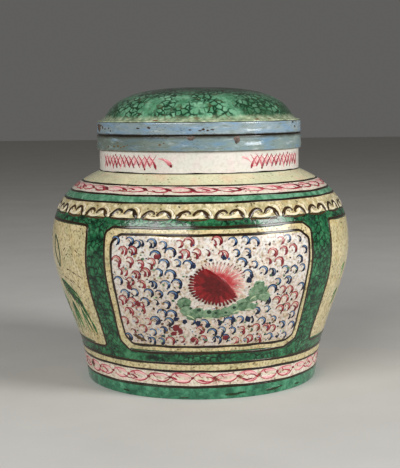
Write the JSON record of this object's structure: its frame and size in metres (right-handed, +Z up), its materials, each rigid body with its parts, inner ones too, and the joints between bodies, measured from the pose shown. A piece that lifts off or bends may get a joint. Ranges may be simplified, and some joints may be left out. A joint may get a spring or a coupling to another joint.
{
  "type": "covered jar",
  "caption": "Squat full-bellied jar on a low foot ring, in painted enamel on copper, with a short collared neck, an upright inner lip and a domed lift-off cover.",
  "frame": {"origin": "centre of the face that the jar stands on", "axes": "+Z up along the jar's axis, -Y towards the viewer of the pictured side"},
  "size_m": [0.148, 0.148, 0.1436],
  "materials": {
    "green_ground": "glossy crackled green enamel painted with panels and scrolls",
    "green_foot": "worn plain green enamel",
    "white_floor": "plain white counter-enamel",
    "white_neck": "pinkish-white enamel with brushed pink strokes",
    "blue_band": "worn pale blue enamel with chips at its edges",
    "bare_copper": "darkened bare copper"
  },
  "bodies": {
    "jar": {"foot_ring": "green_foot", "floor_plate": "white_floor", "body": "green_ground", "neck": "white_neck", "neck_collar": "blue_band", "mouth_lip": "bare_copper"},
    "cover": {"cover_rim": "blue_band", "cover_dome": "green_ground"}
  },
  "joints": [
    {"name": "cover_lift", "type": "slide", "parent": "jar", "child": "cover", "axis": [0, 0, 1], "range_m": [0, 0.06]}
  ]
}
